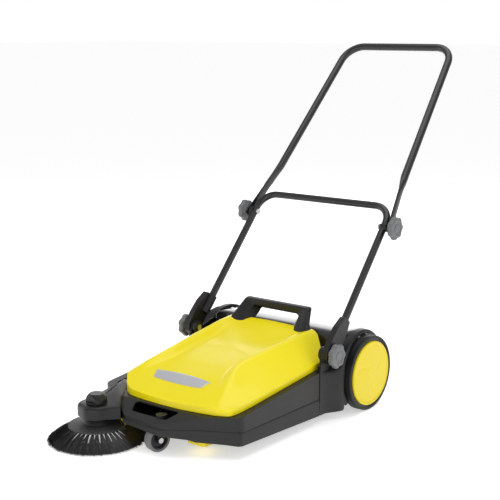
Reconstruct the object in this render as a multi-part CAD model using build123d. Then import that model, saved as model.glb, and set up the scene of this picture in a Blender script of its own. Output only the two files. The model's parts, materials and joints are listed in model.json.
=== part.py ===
"""A push sweeper: two drive wheels turn a main roller and a belt-driven side brush, and a two-part
tube handle folds at clamp knobs. Millimetres. While it is drawn, x = 0 is the machine's middle plane,
y = 0 the drive axle and z = 0 the floor; the front faces -Y. At export every part is shifted so that
the origin is the centre of the machine's footprint, on the floor."""

import math
import os

from build123d import *

# Shell thicknesses and clearances
wall = 3.0
fit_gap = 0.3
running_gap = 0.05

# Body
body_half_width = 222.0
panel_thickness = 5.5
cheek_wall = 3.0
roller_bay_half_width = 183.0
seam_y = -176.0
body_rear_y = 66.0
body_front_y = -497.0
nose_y = -597.0
nose_half_width = 62.0
shoulder_x = 128.0
shoulder_y = -548.0
nose_floor_z = 60.0
deck_z = 150.0
floor_rear_z = 20.0
floor_front_z = 33.0
lip_front_z = 103.0
crease_z = 70.0
lower_draft = 4.0
lip_rear_z = 139.0
hood_rear_side_y = -131.0
window_rear_half = 72.0
window_front_half = 56.0
window_rear_y = -541.0
window_front_y = -577.0

# Hood
hood_half_width = 205.0
hood_side_front_y = -488.0
hood_corner_x = 165.0
hood_corner_y = -508.0
hood_front_y = -532.0
hood_front_half = 60.0
hood_rear_y = -83.0
hood_rear_half = 150.0
hood_base_z = 40.0
badge_thickness = 1.2

# Carry handle
grip_top_z = 266.0
grip_top_half = 106.0
grip_base_half = 147.0
grip_hole_top_z = 245.0
grip_hole_top_half = 75.0
grip_hole_base_half = 86.0

# Drive wheels
wheel_radius = 100.0
wheel_face_x = 268.0
tread_width = 34.0
tyre_depth = 8.0
gear_face = 12.0
tooth_module = 2.0
pinion_teeth = 20
ring_margin = 20.0
axle_radius = 8.0
hub_radius = 20.0
sleeve_radius = 13.0
cap_margin = 14.0

# Main roller
roller_radius = 69.5
roller_lift = 0.5
roller_shaft_radius = 6.0
roller_core_radius = 24.0
roller_rows = 6
row_thickness = 9.0

# Side brush and its belt
brush_x = -146.5
brush_y = -605.0
brush_radius = 125.0
brush_plate_radius = 71.0
brush_plate_z = 36.0
drum_radius = 45.0
drum_top_z = 95.0
spindle_radius = 5.0
belt_radius = 2.5
drive_groove_radius = 18.0
brush_groove_radius = 12.0
belt_x = -206.5
belt_drift = 1.2
belt_end_z = 82.5
groove_play = 2.4
pulley_rim = 3.5

# Castor
castor_x = 30.0
castor_y = -562.0
castor_radius = 31.0
castor_trail = 13.0
castor_width = 22.0
castor_yaw = -16.0
castor_stem_radius = 8.0
castor_pocket_radius = 50.0

# Handle
pivot_y = -147.0
pivot_z = 178.0
bolt_radius = 4.0
knob_radius = 33.0
knob_depth = 20.0
knob_lobes = 7
lobe_radius = 9.0
lower_tube_radius = 10.0
upper_tube_radius = 11.0
tube_wall = 1.5
foot_x = 224.0
foot_y = -69.0
foot_z = 251.0
foot_thickness = 17.0
crossbar_x = 219.0
crossbar_y = 165.0
crossbar_z = 519.0
lower_bend = 52.0
joint_share = 0.82
joint_plate = 5.0
joint_plate_width = 26.0
kink_x = 212.0
kink_y = 240.0
kink_z = 594.0
top_x = 181.0
top_y = 554.0
top_z = 940.0
upper_bend = 60.0

# Waste container
container_half_width = 212.0
container_gap = 2.0
container_front_y = -74.0
container_rear_y = 118.0
container_top_z = 214.0
container_floor_z = 14.0

# Worked-out places
axle_z = wheel_radius
ring_teeth = 2 * math.floor((wheel_radius - ring_margin) / tooth_module)
ring_pitch = ring_teeth * tooth_module / 2
pinion_pitch = pinion_teeth * tooth_module / 2
roller_z = roller_radius + roller_lift
roller_y = -math.sqrt((ring_pitch - pinion_pitch) ** 2 - (axle_z - roller_z) ** 2)
mesh_angle = math.degrees(math.atan2(roller_z - axle_z, roller_y))
panel_outer_x = body_half_width + 1.0
panel_inner_x = panel_outer_x - panel_thickness
cheek_outer_x = panel_inner_x - fit_gap
cheek_inner_x = cheek_outer_x - cheek_wall
bay_outer_x = roller_bay_half_width + wall
bay_front_y = roller_y - roller_radius - wall * 2.2
bay_rear_y = roller_y + roller_radius + wall * 2
drum_inner_radius = wheel_radius - tyre_depth
tread_inner_x = wheel_face_x - tread_width
gear_x = tread_inner_x + 1.0
web_x = wheel_face_x - 16.0
castor_crown_z = nose_floor_z + 8.0
drive_pulley_half = belt_radius + groove_play + 2.0
brush_pulley_half = belt_radius + groove_play + 1.0


def yz_prism(points, x_low, x_high, radius=0):
    """A solid with the given (y, z) outline between two x planes."""
    line = FilletPolyline(*points, radius=radius, close=True) if radius else Polyline(*points, close=True)
    return extrude(Plane.YZ.offset(x_low) * make_face(line), x_high - x_low)


def plan_prism(points, z_low, z_high, radius=0):
    """A solid with the given (x, y) outline between two heights; radius may be one per corner."""
    line = FilletPolyline(*points, radius=radius, close=True) if radius else Polyline(*points, close=True)
    return extrude(Plane.XY.offset(z_low) * make_face(line), z_high - z_low)


def block(x_low, x_high, y_low, y_high, z_low, z_high):
    centre = ((x_low + x_high) / 2, (y_low + y_high) / 2, (z_low + z_high) / 2)
    return Pos(*centre) * Box(x_high - x_low, y_high - y_low, z_high - z_low)


def rod_x(radius, x_low, x_high, y, z):
    """A round bar along X."""
    return Pos((x_low + x_high) / 2, y, z) * Rot(0, 90, 0) * Cylinder(radius, x_high - x_low)


def rod_z(radius, x, y, z_low, z_high):
    """A round bar along Z."""
    return Pos(x, y, (z_low + z_high) / 2) * Cylinder(radius, z_high - z_low)


def mirrored(points):
    """The right half of an outline, front to rear, closed by its mirror image."""
    return list(points) + [(-x, y) for x, y in reversed(points)]


def mirror_x(shape):
    return mirror(shape, Plane.YZ)


# ---------------------------------------------------------------- body outlines

def body_outline(inset, z):
    """The body seen from above, as a face: straight sides and a bowed nose."""
    right = [
        (body_half_width - inset, body_rear_y - inset),
        (body_half_width - inset, body_front_y + inset / 2),
        (shoulder_x - inset / 2, shoulder_y + inset),
        (nose_half_width - inset / 2, nose_y + inset),
    ]
    radii = [r - inset for r in (11, 24, 40, 26)]
    line = FilletPolyline(*mirrored(right), radius=radii + radii[::-1], close=True)
    return Plane.XY.offset(z) * make_face(line)


def body_plan(inset):
    """The body's sides, from the floor up: they lean out to the crease and stand straight above it."""
    lower = loft([body_outline(inset + lower_draft, 0), body_outline(inset, crease_z)], ruled=True)
    return lower + extrude(body_outline(inset, crease_z), 200 - crease_z)


def rim_z(y):
    """Height of the sloping rim that the hood sits on."""
    slope = (lip_rear_z - lip_front_z) / (hood_rear_side_y - body_front_y)
    return lip_front_z + slope * (y - body_front_y)


def body_side(inset, top_inset):
    """The body seen from the side: a floor that drops to the rear, a raised nose and a sloping rim."""
    ledge_y = hood_front_y - 6
    points = [
        (body_rear_y - inset, floor_rear_z + inset),
        (seam_y, floor_rear_z + inset),
        (body_front_y, floor_front_z + inset),
        (shoulder_y + inset, floor_front_z + inset + wall),
        (shoulder_y - 16 + inset, nose_floor_z + inset),
        (nose_y - 3 + inset, nose_floor_z + inset),
        (nose_y - 5 + inset, nose_floor_z + 16 - top_inset),
        (ledge_y, rim_z(ledge_y) - top_inset),
        (hood_rear_side_y, lip_rear_z - top_inset),
        (hood_rear_side_y + 6, deck_z - top_inset),
        (body_rear_y - inset, deck_z - top_inset),
    ]
    return yz_prism(points, -body_half_width - 1, body_half_width + 1)


def underside_clearance(grow):
    """The room under the nose for the side brush and the castor."""
    brush_room = rod_z(brush_radius + 8 + grow, brush_x, brush_y, -1, nose_floor_z + grow)
    castor_room = rod_z(castor_pocket_radius + grow, castor_x, castor_y, -1, castor_crown_z + grow)
    middle = block(brush_x - grow, castor_x, nose_y - 10, body_front_y - 20 + grow, -1, nose_floor_z + grow)
    return brush_room + castor_room + middle


def hood_plan(inset, z_low, z_high):
    right = [
        (hood_rear_half - inset / 2, hood_rear_y - inset),
        (hood_half_width - inset, hood_rear_side_y - inset / 2),
        (hood_half_width - inset, hood_side_front_y + inset / 2),
        (hood_corner_x - inset / 2, hood_corner_y + inset),
        (hood_front_half, hood_front_y + inset),
    ]
    corner_radii = [12, 14, 24, 60, 60]
    radii = [r - inset for r in corner_radii]
    return plan_prism(mirrored(right), z_low, z_high, radii + radii[::-1])


def hood_form(lift):
    """The hood's upper surface as a solid: a trough between two crests that fade out at the front.
    Each station is y, crest x, crest z, valley x, valley z and middle z."""
    stations = [
        (-80, 140, 215, 104, 216, 218),
        (-131, 134, 215, 99, 201, 203),
        (-200, 128, 209, 94, 187, 187),
        (-266, 122, 202, 89, 181, 180),
        (-333, 115, 195, 87, 174, 173),
        (-370, 112, 190, 89, 169, 168),
        (-400, 121, 180, 95, 163, 162),
        (-437, 138, 162, 106, 154, 154),
        (-473, 152, 143, 115, 141, 142),
        (-505, 162, 124, 120, 127, 128),
        (-540, 166, 107, 120, 108, 108),
    ]
    sections = []
    for y, crest_x, crest_z, valley_x, valley_z, middle_z in stations:
        right = [(hood_half_width + 5, rim_z(y) + 4), (crest_x, crest_z), (valley_x, valley_z)]
        ridge = right + [(0, middle_z)] + [(-x, z) for x, z in reversed(right)]
        corners = [(hood_half_width + 5, y, hood_base_z)] + [(x, y, z + lift) for x, z in ridge]
        line = Polyline(*corners, (-hood_half_width - 5, y, hood_base_z), close=True)
        sections.append(make_face(line))
    return loft(sections, ruled=True)


def above_rim():
    """Everything above the rim that the hood sits on; the rim steps up to the deck at the rear."""
    far_y = -700
    points = [(far_y, rim_z(far_y)), (hood_rear_side_y, lip_rear_z), (hood_rear_side_y + 6, deck_z)]
    return yz_prism(points + [(0, deck_z), (0, 400), (far_y, 400)], -400, 400)


# ---------------------------------------------------------------- chassis and covers

body_solid = (body_side(0, 0) & body_plan(0)) - underside_clearance(0)


def brush_window():
    """The way through the nose for the belt, between the body and the side brush arm."""
    low, high = belt_end_z - 8, belt_end_z + 11
    return block(brush_x - 25, brush_x + 22, brush_y - 5, body_front_y - 4, low, high)


def make_chassis():
    hollow = (body_side(wall, wall) & body_plan(wall)) - underside_clearance(wall)
    shell = body_solid - hollow
    shell -= hood_plan(wall * 2, nose_floor_z + 20, 300) & block(-300, 300, -540, bay_front_y, 0, 300)
    for side in (-1, 1):
        low, high = sorted((side * cheek_outer_x, side * (body_half_width + 5)))
        shell -= block(low, high, seam_y, body_rear_y + 5, 0, 200)
        low, high = sorted((side * cheek_inner_x, side * cheek_outer_x))
        shell += block(low, high, seam_y, body_rear_y - wall, floor_rear_z, deck_z)
        low, high = sorted((side * roller_bay_half_width, side * bay_outer_x))
        shell += block(low, high, bay_front_y, body_rear_y, floor_rear_z, deck_z)
    half = roller_bay_half_width
    shell += block(-bay_outer_x, bay_outer_x, bay_front_y - wall, bay_front_y, floor_rear_z, deck_z)
    shell -= block(-half, half, bay_front_y, body_rear_y + 1, 0, deck_z - wall)
    shell -= block(-half, half, bay_rear_y, body_rear_y + 1, 0, deck_z + 1)
    window = [(-window_rear_half, window_rear_y), (window_rear_half, window_rear_y)]
    window += [(window_front_half, window_front_y), (-window_front_half, window_front_y)]
    shell -= plan_prism(window, castor_crown_z + wall, 200, 7)
    shell -= brush_window()
    boss_top = castor_crown_z + 22
    shell += rod_z(castor_stem_radius + 6, castor_x, castor_y, castor_crown_z, boss_top)
    shell -= rod_z(castor_stem_radius + running_gap, castor_x, castor_y, castor_crown_z - 2, boss_top - 2)
    for side in (-1, 1):
        low, high = sorted((side * (cheek_inner_x - 1), side * (cheek_outer_x + 1)))
        shell -= rod_x(drive_groove_radius + 6, low, high, 0, axle_z)
        shell -= rod_x(roller_shaft_radius + 2, low, high, roller_y, roller_z)
        low, high = sorted((side * (roller_bay_half_width - 1), side * (bay_outer_x + 1)))
        shell -= rod_x(axle_radius, low, high, 0, axle_z)
        shell -= rod_x(roller_shaft_radius + 5, low, high, roller_y, roller_z)
    return shell - liner_tabs(fit_gap)


def liner_tabs(grow):
    """Two small tabs that stand up through the nose floor, below the window."""
    tabs = Part()
    for low, high in ((-50, -34), (-24, -12)):
        tabs += block(low - grow, high + grow, -574 - grow, -562 + grow, nose_floor_z - 1, nose_floor_z + 10)
    return tabs


def make_nose_liner():
    rear = body_front_y - 22
    outline = [(-112, rear), (-12, rear), (-12, nose_y - 1), (-60, nose_y - 1), (-112, -566)]
    plate = plan_prism(outline, nose_floor_z - 4, nose_floor_z, 4)
    return plate + liner_tabs(0)


def make_front_skid():
    tab = block(86, 142, -536, -478, floor_front_z - 9, floor_front_z + 6)
    edges = tab.edges().filter_by(Axis.Z)
    return fillet(edges, 8) - body_side(0, 0)


def make_side_panel(side):
    """The cover of the body's side from the seam back round the wheel, with the handle's pivot lug."""
    points = [
        (seam_y + fit_gap, floor_rear_z),
        (seam_y + fit_gap, 135),
        (pivot_y - 22, pivot_z - 6),
        (pivot_y - 14, pivot_z + 16),
        (pivot_y + 12, pivot_z + 16),
        (pivot_y + 30, pivot_z - 2),
        (-78, 188),
        (-30, 194),
        (22, 184),
        (60, 152),
        (78, 108),
        (78, 62),
        (44, 30),
        (0, floor_rear_z),
    ]
    panel = yz_prism(points, panel_inner_x, panel_outer_x, 5)
    panel += rod_x(18, panel_inner_x - 9, panel_outer_x, pivot_y, pivot_z)
    panel -= rod_x(bolt_radius, 150, 300, pivot_y, pivot_z)
    panel -= rod_x(drive_groove_radius + 6, 150, 300, 0, axle_z)
    panel -= rod_x(roller_shaft_radius + 2, 150, 300, roller_y, roller_z)
    return panel if side > 0 else mirror_x(panel)


def make_panel_screws():
    """Pan-head screws that hold each side panel to the chassis cheek, behind the wheel."""
    places = [(-70, 45), (50, 60), (44, 134)]
    screws = Part()
    for y, z in places:
        screw = rod_x(4, panel_outer_x, panel_outer_x + 2, y, z)
        screws += screw + mirror_x(screw)
    return screws


def make_hood():
    outer = hood_form(0) & hood_plan(0, 0, 400) & above_rim()
    inner = hood_form(-wall * 1.2) & hood_plan(wall, 0, 400)
    return outer - inner


def make_badge():
    """A blank plate that follows the hood's front slope."""
    outline = mirrored([(82, -446), (86, -452), (74, -474), (60, -477)])
    return (hood_form(badge_thickness) - hood_form(0)) & plan_prism(outline, 100, 200)


def make_carry_handle():
    """A trapezoid grip with splayed legs that stand on the hood's crests."""
    outer = [(grip_base_half, 180), (grip_top_half, grip_top_z)]
    outer += [(-x, z) for x, z in reversed(outer)]
    hole = [(grip_hole_base_half, 170), (grip_hole_top_half, grip_hole_top_z)]
    hole += [(-grip_hole_top_half, grip_hole_top_z), (-grip_hole_base_half, 170)]
    front = Plane.XZ.offset(20)
    ring = extrude(front * make_face(FilletPolyline(*outer, radius=5, close=True)), 140)
    ring -= extrude(front * make_face(FilletPolyline(*hole, radius=7, close=True)), 140)
    rear = hood_rear_y - 1
    profile = [(-136, 180), (rear, 180), (rear, container_top_z + 1), (-62, container_top_z + 6)]
    side = yz_prism(profile + [(-48, 258), (-54, 268), (-68, 268)], -200, 200, 1)
    return (ring & side) - hood_form(0)


# ---------------------------------------------------------------- waste container

def container_form(inset):
    """The bin's outer form, or its hollow when inset by the wall."""
    top = [
        (container_front_y + inset, deck_z + container_gap + inset),
        (container_front_y + inset, container_top_z - 2 - inset),
        (-20, container_top_z - inset),
        (48, container_top_z - 8 - inset),
        (container_rear_y - 18 - inset, container_top_z - 24 - inset),
        (container_rear_y - 6 - inset, deck_z + container_gap + inset),
    ]
    front = bay_rear_y + container_gap + inset
    well = [
        (front, container_floor_z + inset),
        (front, deck_z + 12),
        (container_rear_y - 8 - inset, deck_z + 12),
        (container_rear_y - inset, deck_z - 30),
        (container_rear_y - inset, 40),
        (container_rear_y - 14 - inset, container_floor_z + inset),
    ]
    half = container_half_width - inset
    plan = mirrored([(half, container_rear_y + 5 - inset), (half, container_front_y - 5 + inset)])
    upper = yz_prism(top, -half, half, 3) & plan_prism(plan, 0, 400, [58, 10, 10, 58])
    narrow = roller_bay_half_width - container_gap - inset
    return upper + yz_prism(well, -narrow, narrow, 3)


def make_waste_container():
    """A bin behind and above the roller: a wide top over the wheels' cheeks and a narrow well."""
    narrow = roller_bay_half_width - container_gap - wall - 8
    inlet = block(-narrow, narrow, bay_rear_y, bay_rear_y + 12, container_floor_z + 16, deck_z - 30)
    return container_form(0) - container_form(wall) - inlet


def make_container_grip():
    """A bow handle on the container's rear wall."""
    y = container_rear_y - 6
    path = FilletPolyline((-70, y, 150), (-60, y + 30, 158), (60, y + 30, 158), (70, y, 150), radius=12)
    return sweep(Plane(path @ 0, z_dir=path % 0) * Circle(7), path) - container_form(0)


def make_container_lip():
    """A rubber strip along the inlet's lower edge."""
    half = roller_bay_half_width - container_gap - wall
    y = bay_rear_y + container_gap
    return block(-half, half, y + 0.5, y + 3.5, 3, container_floor_z)


def make_front_flap():
    """A rubber strip that hangs in front of the roller."""
    half = roller_bay_half_width - 2
    y = bay_front_y - wall
    return block(-half, half, y - 2.5, y, 4, floor_rear_z)


# ---------------------------------------------------------------- gears and wheels

def gear_outline(teeth, tip, root, play):
    """The involute outline of a gear with a tooth on the +Y axis, in the YZ plane; play narrows each
    flank."""
    pitch = teeth * tooth_module / 2
    base = pitch * math.cos(math.radians(20))

    def half_angle(radius):
        radius = max(radius, base)
        turn = math.acos(base / radius)
        start = math.acos(base / pitch)
        swing = (math.tan(start) - start) - (math.tan(turn) - turn)
        return math.pi / (2 * teeth) + swing - play / pitch

    steps = [root, max(root, base) + 0.01, (max(root, base) + pitch) / 2, pitch, (pitch + tip) / 2, tip]
    points = []
    for tooth in range(teeth):
        middle = 2 * math.pi * tooth / teeth
        flank = [(r, half_angle(r)) for r in steps]
        for r, a in flank:
            points.append((r * math.cos(middle - a), r * math.sin(middle - a)))
        for r, a in reversed(flank):
            points.append((r * math.cos(middle + a), r * math.sin(middle + a)))
    return points


def make_pinion(side):
    """A spur gear on the roller shaft, inside the wheel's ring gear."""
    tip, root = pinion_pitch + 0.85 * tooth_module, pinion_pitch - 1.25 * tooth_module
    blank = yz_prism(gear_outline(pinion_teeth, tip, root, 0.1), 0, gear_face - 1.5)
    blank = Rot(mesh_angle, 0, 0) * blank
    start = gear_x + 0.75 if side > 0 else -gear_x - gear_face + 0.75
    gear = Pos(start, roller_y, roller_z) * blank
    bore = roller_shaft_radius + (running_gap if side < 0 else 0)
    return gear - rod_x(bore, start - 5, start + gear_face + 5, roller_y, roller_z)


def make_wheel(side):
    """A wheel moulding: rim drum, web, hub sleeve and an internal ring gear that drives the roller."""
    tip, root = ring_pitch + 1.25 * tooth_module, ring_pitch - 0.85 * tooth_module
    teeth = Rot(mesh_angle, 0, 0) * yz_prism(gear_outline(ring_teeth, tip, root, -0.1), 0, gear_face)
    ring = rod_x(drum_inner_radius, gear_x, gear_x + gear_face, 0, 0)
    ring -= Pos(gear_x, 0, 0) * teeth
    drum = rod_x(drum_inner_radius, tread_inner_x, wheel_face_x - 5, 0, 0)
    drum -= rod_x(drum_inner_radius - 5, tread_inner_x - 1, wheel_face_x, 0, 0)
    web = rod_x(drum_inner_radius, web_x, web_x + 4, 0, 0)
    hub = rod_x(hub_radius, gear_x - 3, web_x + 4, 0, 0)
    sleeve_end = panel_outer_x - 2 if side > 0 else bay_outer_x + 10
    sleeve = rod_x(sleeve_radius, sleeve_end, web_x, 0, 0)
    wheel = ring + drum + web + hub + sleeve
    wheel -= rod_x(axle_radius + running_gap, 100, 300, 0, 0)
    if side < 0:
        wheel = mirror_x(wheel)
    return Pos(0, 0, axle_z) * wheel


def make_tyre(side):
    """The tread band, with rounded shoulders."""
    half = tread_width / 2
    band = rod_x(wheel_radius, -half, half, 0, 0)
    band = fillet(band.edges(), 5)
    band -= rod_x(drum_inner_radius, -half - 1, half + 1, 0, 0)
    return Pos(side * (tread_inner_x + half - 3), 0, axle_z) * band


def make_hub_cap(side):
    """The bright cover disc that closes the wheel's outer face."""
    disc = rod_x(wheel_radius - cap_margin, web_x + 4.2, wheel_face_x, 0, 0)
    disc = fillet(disc.edges().group_by(Axis.X)[-1], 3)
    disc -= rod_x(wheel_radius - cap_margin - wall, web_x, wheel_face_x - wall, 0, 0)
    if side < 0:
        disc = mirror_x(disc)
    return Pos(0, 0, axle_z) * disc


def make_stub_axles():
    """Steel pins fixed in the bay walls; each wheel turns on one, held by its head."""
    pin = rod_x(axle_radius, roller_bay_half_width, web_x + 4.3, 0, axle_z)
    pin += rod_x(axle_radius + 4, web_x + 4.3, web_x + 7.5, 0, axle_z)
    return pin + mirror_x(pin)


# ---------------------------------------------------------------- main roller

def make_roller_shaft():
    return rod_x(roller_shaft_radius, -gear_x - gear_face, gear_x + gear_face, roller_y, roller_z)


def make_roller_core():
    half = roller_bay_half_width - 4
    core = rod_x(roller_core_radius, -half, half, roller_y, roller_z)
    return core - rod_x(roller_shaft_radius, -half - 1, half + 1, roller_y, roller_z)


def make_roller_bristles():
    """Rows of bristles along the roller."""
    half = roller_bay_half_width - 6
    rows = Part()
    for row in range(roller_rows):
        blade = block(-half, half, -row_thickness / 2, row_thickness / 2, 0, roller_radius)
        rows += Rot(360 / roller_rows * row, 0, 0) * blade
    rows &= rod_x(roller_radius, -half, half, 0, 0)
    rows -= rod_x(roller_core_radius, -half - 1, half + 1, 0, 0)
    return Pos(0, roller_y, roller_z) * rows


def make_roller_bushes():
    bush = rod_x(roller_shaft_radius + 5, roller_bay_half_width - 1.5, bay_outer_x + 3, roller_y, roller_z)
    bush -= rod_x(roller_shaft_radius + running_gap, 100, 300, roller_y, roller_z)
    return bush + mirror_x(bush)


# ---------------------------------------------------------------- side brush and belt drive

def make_drive_pulley():
    """A grooved pulley on the left wheel's sleeve."""
    half, slot = drive_pulley_half, belt_radius + groove_play
    x = belt_x + belt_drift
    pulley = rod_x(drive_groove_radius + pulley_rim, x - half, x + half, 0, axle_z)
    groove = rod_x(drive_groove_radius + pulley_rim + 1, x - slot, x + slot, 0, axle_z)
    groove -= rod_x(drive_groove_radius - slot, x - half, x + half, 0, axle_z)
    return pulley - groove - rod_x(sleeve_radius, x - half - 1, x + half + 1, 0, axle_z)


def make_brush_pulley():
    """The smaller pulley on the side brush's spindle."""
    low, high = belt_end_z - brush_pulley_half, belt_end_z + brush_pulley_half
    slot = belt_radius + groove_play
    pulley = rod_z(brush_groove_radius + pulley_rim, brush_x, brush_y, low, high)
    low_slot, high_slot = belt_end_z - slot, belt_end_z + slot
    groove = rod_z(brush_groove_radius + pulley_rim + 1, brush_x, brush_y, low_slot, high_slot)
    groove -= rod_z(brush_groove_radius - slot, brush_x, brush_y, low, high)
    return pulley - groove - rod_z(spindle_radius, brush_x, brush_y, low - 1, high + 1)


def make_drive_belt():
    """A round belt with a quarter turn, from the wheel's pulley to the brush's, in two halves that
    meet halfway along the strands."""
    reach, turn = drive_groove_radius, brush_groove_radius
    upper = Vector(belt_x, reach, axle_z + reach)
    lower = Vector(belt_x, reach, axle_z - reach)
    left = Vector(brush_x - turn, brush_y - turn, belt_end_z)
    right = Vector(brush_x + turn, brush_y - turn, belt_end_z)
    upper_middle, lower_middle = (upper + left) / 2, (lower + right) / 2
    belt = Part()
    for corners, radius in (((upper_middle, left, right, lower_middle), turn - 0.1),
                            ((lower_middle, lower, upper, upper_middle), reach - 0.1)):
        path = FilletPolyline(*corners, radius=radius)
        belt += sweep(Plane(path @ 0, z_dir=path % 0) * Circle(belt_radius), path)
    return belt


def make_brush_arm():
    """The arm from the body's left front corner that ends in a drum over the side brush."""
    def form(inset, z_low, z_high):
        arm = rod_z(drum_radius - inset, brush_x, brush_y, z_low, z_high)
        left = brush_x - drum_radius + inset
        points = [(left, brush_y), (left - 12, body_front_y - 2), (-62, nose_y + 20)]
        points += [(-74, brush_y - 6 + inset), (brush_x + 20, brush_y - 20)]
        return arm + plan_prism(points, z_low, z_high)

    bottom = nose_floor_z + 2
    arm = form(0, bottom, drum_top_z) - form(wall, bottom - 1, drum_top_z - wall)
    arm += rod_z(spindle_radius + 6, brush_x, brush_y, drum_top_z - 5, drum_top_z)
    arm -= rod_z(spindle_radius + 3, brush_x, brush_y, drum_top_z - 6, drum_top_z + 1)
    return arm - body_plan(-fit_gap) - brush_window()


def make_spindle_bush():
    bush = rod_z(spindle_radius + 3, brush_x, brush_y, drum_top_z - 6, drum_top_z)
    return bush - rod_z(spindle_radius + running_gap, brush_x, brush_y, 0, 200)


def make_brush_cap():
    """A domed cap over the spindle's bearing, flattened at the front for a finger."""
    dome = Pos(brush_x, brush_y, drum_top_z + 2) * Sphere(27)
    dome &= rod_z(26, brush_x, brush_y, drum_top_z, drum_top_z + 23)
    dome -= block(brush_x - 30, brush_x + 30, brush_y - 30, brush_y - 20, drum_top_z + 4, drum_top_z + 30)
    return dome - rod_z(spindle_radius + 4, brush_x, brush_y, 0, drum_top_z + 4)


def make_brush_spindle():
    spindle = rod_z(spindle_radius, brush_x, brush_y, brush_plate_z + 2, drum_top_z + 2)
    collar_top = belt_end_z - brush_pulley_half
    return spindle + rod_z(spindle_radius + 3, brush_x, brush_y, brush_plate_z + 20, collar_top)


def make_brush_plate():
    profile = [(0, 0), (brush_plate_radius, 0), (brush_plate_radius, 3.5), (34, 9), (22, 20), (0, 20)]
    face = make_face(Plane.XZ * Polyline(*profile, close=True))
    plate = Pos(brush_x, brush_y, brush_plate_z) * revolve(face, Axis.Z)
    return plate - rod_z(spindle_radius, brush_x, brush_y, brush_plate_z + 2, 200)


def make_brush_bristles():
    """The skirt of bristles, flaring from the plate's rim to the floor."""
    profile = [(48, -0.5), (brush_plate_radius - 1, -0.5), (86, -9), (brush_radius, 0.5 - brush_plate_z)]
    profile += [(brush_radius - 16, 0.5 - brush_plate_z), (70, -12)]
    face = make_face(Plane.XZ * Polyline(*profile, close=True))
    return Pos(brush_x, brush_y, brush_plate_z) * revolve(face, Axis.Z)


def make_brush_screw():
    return rod_z(8, brush_x, brush_y, brush_plate_z - 4, brush_plate_z)


# ---------------------------------------------------------------- castor

def castor_place(shape):
    return Pos(castor_x, castor_y, 0) * Rot(0, 0, castor_yaw) * shape


def make_castor_fork():
    half = castor_width / 2 + 1.2
    low, high = 2 * castor_radius + 1.5, castor_crown_z - 0.5
    crown = rod_z(14, 0, 0, low, high) + block(-half - wall, half + wall, -castor_trail - 7, 4, low, high)
    fork = crown
    for x_low in (-half - wall, half):
        leg = block(x_low, x_low + wall, -castor_trail - 7, -castor_trail + 7, castor_radius, high)
        leg += rod_x(7, x_low, x_low + wall, -castor_trail, castor_radius)
        fork += leg
    fork -= rod_x(bolt_radius, -60, 60, -castor_trail, castor_radius)
    return castor_place(fork)


def make_castor_stem():
    return castor_place(rod_z(castor_stem_radius, 0, 0, castor_crown_z - 0.5, castor_crown_z + 18))


def make_castor_wheel():
    half = castor_width / 2
    wheel = rod_x(castor_radius - 7, -half + 1, half - 1, -castor_trail, castor_radius)
    wheel -= rod_x(castor_radius - 11, half - 5, half, -castor_trail, castor_radius)
    wheel -= rod_x(castor_radius - 11, -half, -half + 5, -castor_trail, castor_radius)
    wheel += rod_x(9, -half, half, -castor_trail, castor_radius)
    return castor_place(wheel - rod_x(bolt_radius + running_gap, -60, 60, -castor_trail, castor_radius))


def make_castor_tyre():
    half = castor_width / 2
    tyre = rod_x(castor_radius, -half, half, -castor_trail, castor_radius)
    tyre = fillet(tyre.edges(), 3)
    return castor_place(tyre - rod_x(castor_radius - 7, -60, 60, -castor_trail, castor_radius))


def make_castor_axle():
    half = castor_width / 2 + 1.2 + wall
    bolt = rod_x(bolt_radius, -half, half, -castor_trail, castor_radius)
    bolt += rod_x(6.5, half, half + 3, -castor_trail, castor_radius)
    return castor_place(bolt + rod_x(6.5, -half - 3, -half, -castor_trail, castor_radius))


# ---------------------------------------------------------------- folding handle

foot_point = Vector(foot_x, foot_y, foot_z)
crossbar_point = Vector(crossbar_x, crossbar_y, crossbar_z)
leg_direction = (crossbar_point - foot_point).normalized()
tube_end = foot_point - leg_direction * 55
joint_centre = foot_point + (crossbar_point - foot_point) * joint_share
joint_y, joint_z = joint_centre.Y, joint_centre.Z
saddle_x = joint_centre.X + lower_tube_radius + 3
blade_lean = 1.9
plate_x = saddle_x + fit_gap + blade_lean + joint_plate / 2


def hollow_bar(radius, path):
    section = Circle(radius) - Circle(radius - tube_wall)
    return sweep(Plane(path @ 0, z_dir=path % 0) * section, path)


def flip(point):
    return Vector(-point.X, point.Y, point.Z)


def make_lower_tube():
    corners = [tube_end, crossbar_point, flip(crossbar_point), flip(tube_end)]
    tube = hollow_bar(lower_tube_radius, FilletPolyline(*corners, radius=lower_bend))
    return tube - rod_x(bolt_radius + 0.1, -300, 300, joint_y, joint_z)


def make_upper_tube():
    """The push bar: flattened ends at the joint, then round tube up to the top bar."""
    kink = Vector(kink_x, kink_y, kink_z)
    top = Vector(top_x, top_y, top_z)
    rise = (top - kink).normalized()
    tube_start = kink + rise * 8
    path = FilletPolyline(tube_start, top, flip(top), flip(tube_start), radius=upper_bend)
    bar = hollow_bar(upper_tube_radius, path)
    joint = Vector(plate_x, joint_y, joint_z)
    run = (kink - joint).normalized()
    section = Plane(joint - run * joint_plate_width / 2, x_dir=(1, 0, 0), z_dir=run)
    length = (kink - joint).length + joint_plate_width / 2
    blade = extrude(section * RectangleRounded(joint_plate, joint_plate_width, 2), length)
    blade += extrude(Plane(kink - rise * 6, z_dir=rise) * Circle(upper_tube_radius), 14)
    blade -= rod_x(bolt_radius + 0.1, 0, 300, joint_y, joint_z)
    return bar + blade + mirror_x(blade)


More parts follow.
